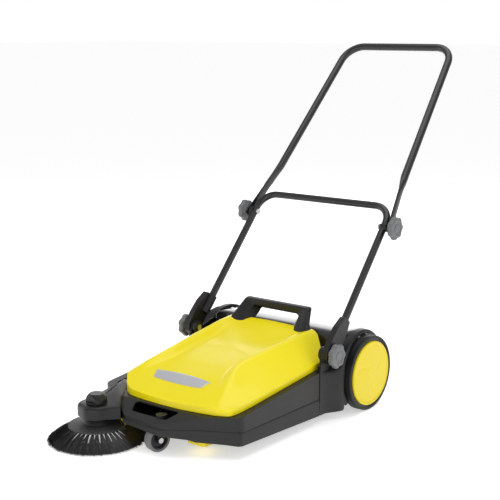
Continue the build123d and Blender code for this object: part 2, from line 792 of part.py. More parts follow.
def make_foot(side):
    """The plastic foot that grips the lower tube's end and turns on the pivot bolt."""
    along = (leg_direction.Y, leg_direction.Z)
    across = (-along[1], along[0])

    def at(run, offset):
        return (pivot_y + run * along[0] + offset * across[0], pivot_z + run * along[1] + offset * across[1])

    reach = (foot_y - pivot_y) * along[0] + (foot_z - pivot_z) * along[1]
    outline = [at(-22, -12), at(-22, 12), at(-6, 24), at(34, 27), at(70, 24), at(reach, 12)]
    outline += [at(reach, -14), at(60, -24), at(28, -26), at(-6, -24)]
    inner_x = panel_outer_x + fit_gap
    foot = yz_prism(outline, inner_x, inner_x + foot_thickness, 5)
    grip = extrude(Plane(tube_end, z_dir=leg_direction) * Circle(lower_tube_radius + 4), 55)
    foot += grip
    foot -= extrude(Plane(tube_end, z_dir=leg_direction) * Circle(lower_tube_radius), 80)
    foot -= rod_x(bolt_radius + 0.1, 150, 300, pivot_y, pivot_z)
    return foot if side > 0 else mirror_x(foot)


def make_bolts(head_x, end_x, y, z):
    bolt = rod_x(bolt_radius, head_x, end_x, y, z) + rod_x(bolt_radius + 4, head_x - 4, head_x, y, z)
    return bolt + mirror_x(bolt)


def make_knob(side, start_x, y, z):
    """A lobed clamp knob on a bolt's threaded end."""
    body = rod_x(knob_radius - 4, 0, knob_depth, 0, 0)
    for lobe in range(knob_lobes):
        angle = 2 * math.pi * lobe / knob_lobes
        reach = knob_radius - lobe_radius
        body += rod_x(lobe_radius, 3, knob_depth, reach * math.cos(angle), reach * math.sin(angle))
    body -= rod_x(bolt_radius + running_gap, -1, knob_depth - 4, 0, 0)
    knob = Pos(start_x, y, z) * body
    return knob if side > 0 else mirror_x(knob)


def make_joint_saddles():
    """Plastic saddles between the lower legs and the push bar's flattened ends."""
    saddle = rod_x(13, joint_centre.X, saddle_x, joint_y, joint_z)
    across = Plane(joint_centre - leg_direction * 30, z_dir=leg_direction)
    saddle -= extrude(across * Circle(lower_tube_radius), 60)
    saddle -= rod_x(bolt_radius + 0.1, 0, 300, joint_y, joint_z)
    return saddle + mirror_x(saddle)


foot_outer_x = panel_outer_x + fit_gap + foot_thickness
knob_gap = 0.4
joint_head_x = joint_centre.X - lower_tube_radius - fit_gap
plate_outer_x = plate_x + joint_plate / 2 + blade_lean

parts = {
    "chassis": make_chassis(),
    "side_panel_left": make_side_panel(-1),
    "side_panel_right": make_side_panel(1),
    "panel_screws": make_panel_screws(),
    "nose_liner": make_nose_liner(),
    "front_skid": make_front_skid(),
    "hood": make_hood(),
    "badge": make_badge(),
    "carry_handle": make_carry_handle(),
    "waste_container": make_waste_container(),
    "container_grip": make_container_grip(),
    "container_lip": make_container_lip(),
    "front_flap": make_front_flap(),
    "wheel_left": make_wheel(-1),
    "wheel_right": make_wheel(1),
    "tyre_left": make_tyre(-1),
    "tyre_right": make_tyre(1),
    "hub_cap_left": make_hub_cap(-1),
    "hub_cap_right": make_hub_cap(1),
    "stub_axles": make_stub_axles(),
    "pinion_left": make_pinion(-1),
    "pinion_right": make_pinion(1),
    "roller_shaft": make_roller_shaft(),
    "roller_core": make_roller_core(),
    "roller_bristles": make_roller_bristles(),
    "roller_bushes": make_roller_bushes(),
    "drive_pulley": make_drive_pulley(),
    "drive_belt": make_drive_belt(),
    "brush_pulley": make_brush_pulley(),
    "brush_arm": make_brush_arm(),
    "spindle_bush": make_spindle_bush(),
    "brush_cap": make_brush_cap(),
    "brush_spindle": make_brush_spindle(),
    "brush_plate": make_brush_plate(),
    "brush_bristles": make_brush_bristles(),
    "brush_screw": make_brush_screw(),
    "castor_fork": make_castor_fork(),
    "castor_stem": make_castor_stem(),
    "castor_wheel": make_castor_wheel(),
    "castor_tyre": make_castor_tyre(),
    "castor_axle": make_castor_axle(),
    "lower_tube": make_lower_tube(),
    "foot_left": make_foot(-1),
    "foot_right": make_foot(1),
    "upper_tube": make_upper_tube(),
    "joint_saddles": make_joint_saddles(),
    "pivot_bolts": make_bolts(panel_inner_x - 9, foot_outer_x + knob_depth - 5, pivot_y, pivot_z),
    "joint_bolts": make_bolts(joint_head_x, plate_outer_x + knob_depth - 5, joint_y, joint_z),
    "pivot_knob_left": make_knob(-1, foot_outer_x + knob_gap, pivot_y, pivot_z),
    "pivot_knob_right": make_knob(1, foot_outer_x + knob_gap, pivot_y, pivot_z),
    "joint_knob_left": make_knob(-1, plate_outer_x + knob_gap, joint_y, joint_z),
    "joint_knob_right": make_knob(1, plate_outer_x + knob_gap, joint_y, joint_z),
}

boxes = [shape.bounding_box() for shape in parts.values()]
low = [min(tuple(box.min)[axis] for box in boxes) for axis in range(3)]
high = [max(tuple(box.max)[axis] for box in boxes) for axis in range(3)]
shift = Pos(-(low[0] + high[0]) / 2, -(low[1] + high[1]) / 2, 0)
print("extents", [round(v, 3) for v in low], [round(v, 3) for v in high])

os.makedirs("parts", exist_ok=True)
for name, shape in parts.items():
    export_step(shift * shape, f"parts/{name}.step")
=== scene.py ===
"""A push sweeper: yellow hood over a dark body, two drive wheels, a side brush and a folding tube
handle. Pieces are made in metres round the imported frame; sizes are written in millimetres from the
machine's middle plane, its drive axle and the floor, and at() turns them into places."""

import json
import math
import random

import bmesh
import bpy
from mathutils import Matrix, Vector


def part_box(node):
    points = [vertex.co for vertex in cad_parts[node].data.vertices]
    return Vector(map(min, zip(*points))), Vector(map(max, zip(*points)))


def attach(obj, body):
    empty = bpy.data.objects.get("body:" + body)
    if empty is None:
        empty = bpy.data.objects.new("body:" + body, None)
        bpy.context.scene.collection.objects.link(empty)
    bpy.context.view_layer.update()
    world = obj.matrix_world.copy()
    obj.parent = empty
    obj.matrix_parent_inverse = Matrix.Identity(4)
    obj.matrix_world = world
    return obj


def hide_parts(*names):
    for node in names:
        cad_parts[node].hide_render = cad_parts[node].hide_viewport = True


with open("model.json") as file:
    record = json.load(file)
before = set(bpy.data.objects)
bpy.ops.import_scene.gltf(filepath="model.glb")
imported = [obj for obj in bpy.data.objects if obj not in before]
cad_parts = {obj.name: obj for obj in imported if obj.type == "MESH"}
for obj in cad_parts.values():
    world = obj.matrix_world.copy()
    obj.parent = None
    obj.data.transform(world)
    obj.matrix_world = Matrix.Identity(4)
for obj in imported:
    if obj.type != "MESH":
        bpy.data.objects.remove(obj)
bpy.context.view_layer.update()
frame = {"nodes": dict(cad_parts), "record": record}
nodes = frame["nodes"]
body_of_node = {n: body for body, members in frame["record"]["behaviour"]["bodies"].items() for n in members}
slot_of_node = {part["node"]: part["material_slot"] for part in frame["record"]["subparts"]}

MM = 0.001
WHEEL_RADIUS = 100


def middle(node):
    """The centre of a node's box."""
    low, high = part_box(node)
    return (low + high) / 2


hood_middle = middle("hood")
axle = middle("tyre_left")


def at(x, y, z):
    """A place in millimetres from the middle plane, the drive axle and the floor."""
    return Vector((hood_middle.x + x * MM, axle.y + y * MM, z * MM))


def from_datum(place):
    """The same three distances, read back from a place in the frame."""
    return ((place.x - hood_middle.x) / MM, (place.y - axle.y) / MM, place.z / MM)


# ---------------------------------------------------------------- shader node groups

def add_node(tree, kind, **values):
    """A shader node with its settings or unlinked inputs filled in."""
    node = tree.nodes.new(kind)
    for name, value in values.items():
        if hasattr(node, name):
            setattr(node, name, value)
        else:
            node.inputs[name.replace("_", " ")].default_value = value
    return node


def new_group(name, inputs, outputs):
    """A node group with float, colour or vector sockets, given as (name, kind, default)."""
    tree = bpy.data.node_groups.new(name, "ShaderNodeTree")
    for socket_name, kind, default in inputs:
        socket = tree.interface.new_socket(socket_name, in_out="INPUT", socket_type=kind)
        if default is not None:
            socket.default_value = default
    for socket_name, kind in outputs:
        tree.interface.new_socket(socket_name, in_out="OUTPUT", socket_type=kind)
    return tree, tree.nodes.new("NodeGroupInput"), tree.nodes.new("NodeGroupOutput")


def moulded_grain_group():
    """Fine moulded grain: a bumped normal, and roughness that wanders a little round its middle."""
    tree, given, result = new_group("moulded_grain", [
        ("Grain Size", "NodeSocketFloat", 900.0),
        ("Grain Depth", "NodeSocketFloat", 0.1),
        ("Roughness", "NodeSocketFloat", 0.4),
        ("Roughness Spread", "NodeSocketFloat", 0.08),
    ], [("Normal", "NodeSocketVector"), ("Roughness", "NodeSocketFloat")])
    link = tree.links.new
    place = tree.nodes.new("ShaderNodeTexCoord")
    grain = add_node(tree, "ShaderNodeTexNoise", Detail=4.0)
    link(place.outputs["Object"], grain.inputs["Vector"])
    link(given.outputs["Grain Size"], grain.inputs["Scale"])
    bump = add_node(tree, "ShaderNodeBump", Distance=0.0004)
    link(given.outputs["Grain Depth"], bump.inputs["Strength"])
    link(grain.outputs["Fac"], bump.inputs["Height"])
    patches = add_node(tree, "ShaderNodeTexNoise", Scale=14.0, Detail=3.0)
    link(place.outputs["Object"], patches.inputs["Vector"])
    centred = add_node(tree, "ShaderNodeMath", operation="SUBTRACT")
    centred.inputs[1].default_value = 0.5
    link(patches.outputs["Fac"], centred.inputs[0])
    spread = add_node(tree, "ShaderNodeMath", operation="MULTIPLY_ADD")
    link(centred.outputs[0], spread.inputs[0])
    link(given.outputs["Roughness Spread"], spread.inputs[1])
    link(given.outputs["Roughness"], spread.inputs[2])
    link(bump.outputs["Normal"], result.inputs["Normal"])
    link(spread.outputs[0], result.inputs["Roughness"])
    return tree


def shade_drift_group():
    """A colour that drifts softly between two tones."""
    tree, given, result = new_group("shade_drift", [
        ("Colour", "NodeSocketColor", (0.5, 0.5, 0.5, 1)),
        ("Second Colour", "NodeSocketColor", (0.4, 0.4, 0.4, 1)),
        ("Drift Size", "NodeSocketFloat", 9.0),
        ("Drift", "NodeSocketFloat", 0.3),
    ], [("Colour", "NodeSocketColor")])
    link = tree.links.new
    place = tree.nodes.new("ShaderNodeTexCoord")
    clouds = add_node(tree, "ShaderNodeTexNoise", Detail=3.0)
    link(place.outputs["Object"], clouds.inputs["Vector"])
    link(given.outputs["Drift Size"], clouds.inputs["Scale"])
    share = add_node(tree, "ShaderNodeMath", operation="MULTIPLY")
    link(clouds.outputs["Fac"], share.inputs[0])
    link(given.outputs["Drift"], share.inputs[1])
    mixed = add_node(tree, "ShaderNodeMix", data_type="RGBA")
    link(share.outputs[0], mixed.inputs[0])
    link(given.outputs["Colour"], mixed.inputs[6])
    link(given.outputs["Second Colour"], mixed.inputs[7])
    link(mixed.outputs[2], result.inputs["Colour"])
    return tree


def drawn_lines_group():
    """Fine drawn lines across one axis of a metal part, as a bumped normal."""
    tree, given, result = new_group("drawn_lines", [
        ("Stretch", "NodeSocketVector", (900.0, 40.0, 900.0)),
        ("Depth", "NodeSocketFloat", 0.15),
    ], [("Normal", "NodeSocketVector")])
    link = tree.links.new
    place = tree.nodes.new("ShaderNodeTexCoord")
    stretched = add_node(tree, "ShaderNodeVectorMath", operation="MULTIPLY")
    link(place.outputs["Object"], stretched.inputs[0])
    link(given.outputs["Stretch"], stretched.inputs[1])
    lines = add_node(tree, "ShaderNodeTexNoise", Scale=1.0, Detail=2.0)
    link(stretched.outputs[0], lines.inputs["Vector"])
    bump = add_node(tree, "ShaderNodeBump", Distance=0.0003)
    link(given.outputs["Depth"], bump.inputs["Strength"])
    link(lines.outputs["Fac"], bump.inputs["Height"])
    link(bump.outputs["Normal"], result.inputs["Normal"])
    return tree


moulded_grain = moulded_grain_group()
shade_drift = shade_drift_group()
drawn_lines = drawn_lines_group()


# ---------------------------------------------------------------- finishes

def use_group(tree, group, **values):
    """One of the groups above, placed in a material with its inputs filled in."""
    node = tree.nodes.new("ShaderNodeGroup")
    node.node_tree = group
    for name, value in values.items():
        node.inputs[name.replace("_", " ")].default_value = value
    return node


def finish(name, colour, second, roughness, spread=0.08, grain=900.0, depth=0.1, drift=0.3, metallic=0.0,
           coat=0.0, specular=0.5, lines=None):
    """A finish with drifting colour and moulded grain, or drawn lines on bare metal."""
    material = bpy.data.materials.new(name)
    material.use_nodes = True
    tree = material.node_tree
    shader = tree.nodes["Principled BSDF"]
    shader.inputs["Metallic"].default_value = metallic
    shader.inputs["Coat Weight"].default_value = coat
    shader.inputs["Coat Roughness"].default_value = 0.05
    shader.inputs["Specular IOR Level"].default_value = specular
    tone = use_group(tree, shade_drift, Colour=(*colour, 1), Second_Colour=(*second, 1), Drift=drift)
    surface = use_group(tree, moulded_grain, Grain_Size=grain, Grain_Depth=depth, Roughness=roughness,
                        Roughness_Spread=spread)
    tree.links.new(tone.outputs["Colour"], shader.inputs["Base Color"])
    tree.links.new(surface.outputs["Roughness"], shader.inputs["Roughness"])
    normal = surface
    if lines:
        normal = use_group(tree, drawn_lines, Stretch=lines, Depth=depth)
    tree.links.new(normal.outputs["Normal"], shader.inputs["Normal"])
    material.diffuse_color = (*colour, 1)
    return material


finishes = {
    "black_plastic": finish("black_plastic", (0.007, 0.007, 0.0073), (0.012, 0.012, 0.0123), 0.42, 0.12,
                            grain=1400, depth=0.12, specular=0.4),
    "wheel_plastic": finish("wheel_plastic", (0.009, 0.009, 0.0095), (0.015, 0.015, 0.0155), 0.38, 0.1,
                            grain=1200, depth=0.1, specular=0.4),
    "yellow_hood": finish("yellow_hood", (0.95, 0.80, 0.0), (0.92, 0.74, 0.0), 0.32, 0.06,
                          grain=500, depth=0.03, drift=0.25, coat=0.15, specular=0.35),
    "yellow_plastic": finish("yellow_plastic", (0.80, 0.64, 0.0), (0.76, 0.58, 0.0), 0.36, 0.08,
                             grain=700, depth=0.05, coat=0.1, specular=0.35),
    "gloss_black_plastic": finish("gloss_black_plastic", (0.012, 0.012, 0.013), (0.018, 0.018, 0.019), 0.16,
                                  0.05, grain=600, depth=0.03, coat=0.5),
    "badge_silver": finish("badge_silver", (0.66, 0.67, 0.70), (0.58, 0.59, 0.62), 0.34, 0.06,
                           grain=1500, depth=0.06, metallic=0.7, lines=(60, 2400, 2400)),
    "tread_rubber": finish("tread_rubber", (0.007, 0.007, 0.0075), (0.014, 0.014, 0.0135), 0.5, 0.15,
                           grain=1600, depth=0.25, specular=0.35),
    "grey_rubber": finish("grey_rubber", (0.16, 0.16, 0.165), (0.12, 0.12, 0.12), 0.6, 0.12,
                          grain=1500, depth=0.2),
    "black_rubber": finish("black_rubber", (0.015, 0.015, 0.015), (0.026, 0.026, 0.025), 0.65, 0.1,
                           grain=1500, depth=0.2),
    "knob_grey": finish("knob_grey", (0.15, 0.155, 0.16), (0.12, 0.124, 0.13), 0.45, 0.1,
                        grain=1500, depth=0.15),
    "painted_tube": finish("painted_tube", (0.008, 0.008, 0.0085), (0.013, 0.013, 0.0135), 0.3, 0.1,
                           grain=2600, depth=0.12, coat=0.15),
    "zinc_steel": finish("zinc_steel", (0.56, 0.56, 0.57), (0.47, 0.47, 0.49), 0.28, 0.1,
                         grain=1800, depth=0.1, metallic=1.0, lines=(60, 2400, 2400)),
    "gear_nylon": finish("gear_nylon", (0.62, 0.60, 0.54), (0.54, 0.52, 0.46), 0.45, 0.1,
                         grain=900, depth=0.08),
    "roller_plastic": finish("roller_plastic", (0.03, 0.03, 0.032), (0.045, 0.045, 0.045), 0.5, 0.1,
                             grain=900, depth=0.12),
    "bristle_black": finish("bristle_black", (0.008, 0.008, 0.0085), (0.022, 0.022, 0.022), 0.4, 0.1,
                            grain=3000, depth=0.1),
}

for name, node in nodes.items():
    node.data.materials.clear()
    node.data.materials.append(finishes[slot_of_node[name]])


# ---------------------------------------------------------------- mesh making

def make_piece(name, points, faces, body, slot, stands_for=(), sharp=35, modifiers=()):
    """A mesh piece that rides a body. Each modifier is (kind, settings) and is applied straight away."""
    mesh = bpy.data.meshes.new(name)
    mesh.from_pydata([tuple(p) for p in points], [], faces)
    tidy_mesh(mesh)
    piece = bpy.data.objects.new(name, mesh)
    bpy.context.scene.collection.objects.link(piece)
    for kind, settings in modifiers:
        modifier = piece.modifiers.new(kind.lower(), kind)
        for setting, value in settings.items():
            setattr(modifier, setting, value)
    if modifiers:
        bpy.context.view_layer.update()
        shaped = piece.evaluated_get(bpy.context.evaluated_depsgraph_get())
        piece.data = bpy.data.meshes.new_from_object(shaped)
        piece.modifiers.clear()
    piece.data.shade_smooth()
    piece.data.set_sharp_from_angle(angle=math.radians(sharp))
    piece.data.materials.clear()
    piece.data.materials.append(finishes[slot])
    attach(piece, body)
    if stands_for:
        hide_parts(*stands_for)
    return piece


def bevel(width, segments, angle):
    """A bevel of the edges sharper than the angle, as a modifier for make_piece."""
    return ("BEVEL", {"width": width * MM, "segments": segments, "limit_method": "ANGLE",
                      "angle_limit": math.radians(angle)})


def tidy_mesh(mesh):
    """Joins points that coincide and turns every face outward."""
    work = bmesh.new()
    work.from_mesh(mesh)
    bmesh.ops.remove_doubles(work, verts=work.verts, dist=1e-6)
    bmesh.ops.recalc_face_normals(work, faces=work.faces)
    work.to_mesh(mesh)
    work.free()


def loft(rings, closed=True, capped=True):
    """Points and faces through rings of equal length."""
    count = len(rings[0])
    points = [p for ring in rings for p in ring]
    faces = []
    for r in range(len(rings) - 1):
        for i in range(count if closed else count - 1):
            a, b = r * count + i, r * count + (i + 1) % count
            faces.append((a, b, b + count, a + count))
    if capped:
        faces.append(tuple(reversed(range(count))))
        faces.append(tuple(range((len(rings) - 1) * count, len(rings) * count)))
    return points, faces


def joined(*shapes):
    """Several (points, faces) pairs as one."""
    points, faces = [], []
    for more_points, more_faces in shapes:
        start = len(points)
        points += list(more_points)
        faces += [tuple(start + i for i in face) for face in more_faces]
    return points, faces


def round_off(corners, radius, steps=6, closed=False):
    """A line through the corners with each one rounded to that radius, or to its own."""
    corners = [Vector(c) for c in corners]
    radii = radius if isinstance(radius, (list, tuple)) else [radius] * len(corners)
    line = []
    for i, corner in enumerate(corners):
        back = corners[i - 1] - corner
        ahead = corners[(i + 1) % len(corners)] - corner
        ends = not closed and i in (0, len(corners) - 1)
        if ends or radii[i] <= 0 or back.angle(ahead) > math.pi - 0.02:
            line.append(corner)
            continue
        half = back.angle(ahead) / 2
        reach = min(radii[i] / math.tan(half), 0.49 * back.length, 0.49 * ahead.length)
        centre = corner + (back.normalized() + ahead.normalized()).normalized() * (reach / math.cos(half))
        start = corner + back.normalized() * reach - centre
        end = corner + ahead.normalized() * reach - centre
        turn = start.angle(end)
        for step in range(steps + 1):
            share = step / steps
            spoke = start * math.sin((1 - share) * turn) + end * math.sin(share * turn)
            line.append(centre + spoke / math.sin(turn))
    return line


def turned(profile, centre, axis, steps=72, start=(0, 0, 1)):
    """A turned shape: profile is (radius, distance along the axis) in millimetres from the centre."""
    axis, up = Vector(axis).normalized(), Vector(start)
    side = axis.cross(up)
    rings = []
    for radius, along in profile:
        ring = []
        for step in range(steps):
            angle = 2 * math.pi * step / steps
            spoke = up * math.cos(angle) + side * math.sin(angle)
            ring.append(centre + (axis * along + spoke * radius) * MM)
        rings.append(ring)
    return loft(rings)


def swept(path, section_at, across):
    """A section carried along a path in the frame; section_at(share) gives (across, up) millimetres."""
    lengths = [0.0]
    for before, after in zip(path, path[1:]):
        lengths.append(lengths[-1] + (after - before).length)
    rings = []
    side = Vector(across)
    for i, place in enumerate(path):
        tangent = (path[min(i + 1, len(path) - 1)] - path[max(i - 1, 0)]).normalized()
        side = (side - tangent * side.dot(tangent)).normalized()
        up = tangent.cross(side)
        section = section_at(lengths[i] / lengths[-1])
        rings.append([place + (side * a + up * b) * MM for a, b in section])
    return loft(rings)


def circle(radius, steps=24):
    """A round section as (across, up) pairs."""
    return [(radius * math.cos(2 * math.pi * i / steps), radius * math.sin(2 * math.pi * i / steps))
            for i in range(steps)]


def smooth_step(value):
    """0 to 1 with a soft start and a soft end."""
    value = max(0.0, min(1.0, value))
    return value * value * (3 - 2 * value)


def between(value, low, high):
    """How far value has gone from low to high, from 0 to 1."""
    return max(0.0, min(1.0, (value - low) / (high - low)))


def along_line(points, value):
    """The height at value on a line of (value, height) points, in rising or falling order."""
    points = sorted(points)
    if value <= points[0][0]:
        return points[0][1]
    for (a, first), (b, second) in zip(points, points[1:]):
        if value <= b:
            return first + (second - first) * (value - a) / (b - a)
    return points[-1][1]


# ---------------------------------------------------------------- hood and badge

HOOD_HALF = 203
LIP_HALF = 205.0
RIM_FRONT = (-497.0, 103.0)
RIM_REAR = (-131.0, 139.0)
DECK = 150.0
LIP_HEIGHT = 14.0
HOOD_FRONT_RIGHT = [(0, -532), (60, -531), (119, -524), (160, -517), (194, -504), (201, -476), (203, -425)]
HOOD_FRONT_LEFT = [(0, -532), (60, -530), (108, -525), (134, -511), (160, -482), (184, -448), (203, -415)]
HOOD_REAR = [(0, -83), (150, -83), (203, -128)]
# Each station is y, crest x, crest height, valley x, valley height and the height at the middle.
HOOD_STATIONS = [
    (-80, 140, 215, 104, 216, 218),
    (-131, 134, 215, 99, 201, 203),
    (-200, 128, 209, 94, 187, 187),
    (-266, 122, 202, 89, 181, 180),
    (-333, 115, 195, 87, 174, 173),
    (-370, 112, 190, 89, 169, 168),
    (-400, 120, 180, 95, 163, 162),
    (-437, 137, 163, 106, 154, 154),
    (-473, 151, 143, 116, 141, 142),
    (-505, 161, 125, 124, 127, 128),
    (-540, 166, 108, 130, 110, 110),
]


def rim(y):
    """Height of the sloping rim that the hood sits on."""
    return RIM_FRONT[1] + (RIM_REAR[1] - RIM_FRONT[1]) * (y - RIM_FRONT[0]) / (RIM_REAR[0] - RIM_FRONT[0])


def station_value(column, y):
    """One column of the stations at y, drawn as a smooth curve through them."""
    rows = sorted(HOOD_STATIONS)
    index = max(0, min(len(rows) - 2, sum(row[0] <= y for row in rows) - 1))
    before, after = rows[max(index - 1, 0)], rows[min(index + 2, len(rows) - 1)]
    low, high = rows[index], rows[index + 1]
    share = between(y, low[0], high[0])
    gap = high[0] - low[0]
    low_slope = (high[column] - before[column]) / max(high[0] - before[0], 1) * gap
    high_slope = (after[column] - low[column]) / max(after[0] - low[0], 1) * gap
    a, b = share * share * (3 - 2 * share), share * (1 - share)
    return low[column] * (1 - a) + high[column] * a + b * (low_slope * (1 - share) - high_slope * share)


def hood_line(x, y):
    """Height of the hood's surface, with crisp crests and valleys."""
    crest_x, crest, valley_x, valley, centre = [station_value(c, y) for c in range(1, 6)]
    x = abs(x)
    if x < valley_x:
        return centre + (valley - centre) * smooth_step(x / valley_x)
    if x < crest_x:
        return valley + (crest - valley) * smooth_step((x - valley_x) / (crest_x - valley_x))
    share = (x - crest_x) / (LIP_HALF - crest_x)
    sag = 3.0 * math.sin(math.pi * min(share, 1)) * between(crest - rim(y), 10, 60)
    return crest + (rim(y) + LIP_HEIGHT - crest) * share - sag


def hood_height(x, y):
    """Height of the hood's surface, with the crests rounded."""
    offsets = (-7, -3.5, 0, 3.5, 7)
    return sum(hood_line(x + offset, y) for offset in offsets) / len(offsets)


def make_hood():
    """The hood: a trough between two crests, with a turned-down lip, as one moulded shell."""
    right = [(p.x, p.y) for p in round_off([(x, y, 0) for x, y in HOOD_FRONT_RIGHT], 16)]
    left = [(p.x, p.y) for p in round_off([(x, y, 0) for x, y in HOOD_FRONT_LEFT], 30)]
    columns, rows = 110, 76
    grid = []
    for row in range(rows + 1):
        line = []
        for column in range(columns + 1):
            side = HOOD_HALF * math.sin(math.pi / 2 * (2 * column / columns - 1)) * 0.55
            side += HOOD_HALF * (2 * column / columns - 1) * 0.45
            rear_y = along_line(HOOD_REAR, abs(side))
            front_y = along_line(right if side > 0 else left, abs(side))
            line.append((side, rear_y + (front_y - rear_y) * row / rows))
        grid.append(line)
    points = [at(x, y, hood_height(x, y)) for line in grid for x, y in line]
    width = columns + 1
    faces = []
    for row in range(rows):
        for column in range(columns):
            a = row * width + column
            faces.append((a, a + 1, a + 1 + width, a + width))
    edge = list(range(width)) + [r * width + columns for r in range(1, rows + 1)]
    edge += [rows * width + c for c in range(columns - 1, -1, -1)]
    edge += [r * width for r in range(rows - 1, 0, -1)]
    start = len(points)
    for index in edge:
        x, y, z = from_datum(points[index])
        foot = rim(y) if y < RIM_REAR[0] else min(DECK, rim(y) + (y - RIM_REAR[0]) * 2)
        points.append(at(x, y, min(foot + 0.5, z - 2)))
    for i in range(len(edge)):
        j = (i + 1) % len(edge)
        faces.append((edge[i], edge[j], start + j, start + i))
    return make_piece("hood_shell", points, faces, "base", "yellow_hood", ("hood",), 24, [
        bevel(3.5, 4, 34),
        ("SOLIDIFY", {"thickness": 2.6 * MM, "offset": -1}),
    ])


def make_badge():
    """A blank plate with pointed ends that follows the hood's front slope."""
    steps, rows = 40, 6
    top_half, narrowing, thickness = 88, 11, 1.6
    rings = []
    for row in range(rows + 1):
        share = row / rows
        half = top_half - narrowing * share
        ring = []
        for step in range(steps + 1):
            u = 2 * step / steps - 1
            top_edge = -441 - 7 * u * u
            bottom_edge = -479 + 5 * u * u
            y = top_edge + (bottom_edge - top_edge) * share
            ring.append(at(u * half, y, hood_height(u * half, y) + 1.4))
        rings.append(ring)
    points, faces = loft(rings, closed=False, capped=False)
    return make_piece("badge_plate", points, faces, "base", "badge_silver", ("badge",), 30, [
        ("SOLIDIFY", {"thickness": thickness * MM, "offset": -1}),
        bevel(0.5, 2, 50),
    ])


# ---------------------------------------------------------------- waste container and carry handle

CONTAINER_HALF = 212
CONTAINER_FRONT = -74
CONTAINER_REAR = 116
CONTAINER_CREST = [(-74, 210), (-20, 214), (48, 205), (86, 194), (118, 176)]
FRONT_CORNER = 8
REAR_CORNER = 62
WELL_HALF = 181
WELL_FRONT = 27
WELL_REAR = 117
SHELF_HEIGHT = 152
# Each row is how far in from the outline and how far below the crest; None is the flat underside.
CONTAINER_ROUNDING = ((3, None), (0, 40), (0, 22), (0.8, 14), (3, 7.5), (7, 3), (12, 0.8), (18, 0), (34, 0),
                      (54, 0), (76, 0), (92, 0))
# Each row is how far in from the well's outline and the height above the floor.
WELL_ROUNDING = ((6, 14), (1.5, 16), (0, 20), (0, 60), (0, SHELF_HEIGHT), (1, SHELF_HEIGHT + 8))


def container_top(y):
    """Height of the bin's top, which falls away to the rear."""
    return along_line(CONTAINER_CREST, y)


def container_outline(inset, steps=10):
    """The bin's outline seen from above, with wide rounded rear corners."""
    half = CONTAINER_HALF - inset
    front, rear = CONTAINER_FRONT + inset, CONTAINER_REAR - inset
    corners = [(half, front, 0), (half, rear, 0), (-half, rear, 0), (-half, front, 0)]
    front_reach, rear_reach = max(FRONT_CORNER - inset, 1), max(REAR_CORNER - inset, 4)
    return round_off(corners, [front_reach, rear_reach, rear_reach, front_reach], steps, closed=True)


def make_waste_container():
    """The bin: a wide rounded top that overhangs a narrow well behind the roller."""
    top = []
    for inset, drop in CONTAINER_ROUNDING:
        ring = []
        for p in container_outline(inset):
            height = SHELF_HEIGHT if drop is None else max(container_top(p.y) - drop, SHELF_HEIGHT + 1)
            ring.append(at(p.x, p.y, height))
        top.append(ring)
    well = []
    well_corners = [4, 18, 18, 4]
    for inset, z in WELL_ROUNDING:
        half = WELL_HALF - inset
        front, rear = WELL_FRONT + inset, WELL_REAR - inset
        corners = [(half, front, 0), (half, rear, 0), (-half, rear, 0), (-half, front, 0)]
        ring = round_off(corners, well_corners, 6, closed=True)
        well.append([at(p.x, p.y, z) for p in ring])
    points, faces = joined(loft(top), loft(well))
    return make_piece("container_shell", points, faces, "waste_container", "gloss_black_plastic",
                      ("waste_container",), 32)


def make_carry_handle():
    """A trapezoid grip: a thin bar whose underside slopes back, on splayed legs that widen downward."""
    foot_z, top_z, hole_top_z = 178, 266, 247
    corner_radius, leg_spans, longest_plain_run = 9, 10, 30
    outer = [(-147, foot_z), (-106, top_z), (106, top_z), (147, foot_z)]
    inner = [(-88, foot_z), (-76, hole_top_z), (76, hole_top_z), (88, foot_z)]
    radii = [0, corner_radius, corner_radius, 0]
    outer = round_off([(x, 0, z) for x, z in outer], radii, 8)
    inner = round_off([(x, 0, z) for x, z in inner], radii, 8)
    rings = []
    last = len(outer) - 1
    for index, (out, inn) in enumerate(zip(outer, inner)):
        next_out = outer[min(index + 1, last)]
        next_inn = inner[min(index + 1, last)]
        spans = leg_spans if (next_out - out).length > longest_plain_run else 1
        for span in range(spans if index < last else 1):
            outside = out.lerp(next_out, span / spans)
            inside = inn.lerp(next_inn, span / spans)
            front = -68 - 66 * between(outside.z, top_z, foot_z)
            rear = -48 - 34 * between(outside.z, 262, 225)
            section = [(front + 8, 1), (front + 13, 1), (rear - 4, 1), (rear, 0.93), (rear, -0.32),
                       (rear - 3, -0.4), (front + 5, 0), (front, 0.06), (front, 0.8), (front + 2, 0.93)]
            ring = []
            for y, share in section:
                spot = inside.lerp(outside, share)
                ring.append(at(spot.x, min(y, rear), spot.z))
            rings.append(ring)
    points, faces = loft(rings)
    return make_piece("carry_grip", points, faces, "base", "black_plastic", ("carry_handle",), 28, [
        bevel(1.2, 2, 40),
    ])


# ---------------------------------------------------------------- body trim

DRUM_PLACE = (-148, -605)
DRUM_RADIUS = 46
DRUM_FLAT = 41
DRUM_TOP = 93
ARM_BASE = 62
# The arm's edge as (x, y, height), from the drum back to the hood's corner and forward again.
ARM_EDGE = [(-92, -606, 93), (-78, -592, 94), (-92, -573, 97), (-112, -552, 101), (-120, -532, 101),
            (-140, -502, 101), (-165, -468, 103), (-190, -434, 104), (-208, -424, 101), (-221, -440, 94),
            (-214, -500, 92), (-203, -545, 92)]
ARM_RIDGE = [Vector((*DRUM_PLACE, 95)), Vector((-160, -532, 108)), Vector((-194, -462, 107))]
# Each row is how far in from the edge and how far below its height; None is the flat underside.
ARM_ROUNDING = ((0, None), (0, 7), (1.2, 3), (4, 0.6), (9, 0), (22, 0), (34, 0))


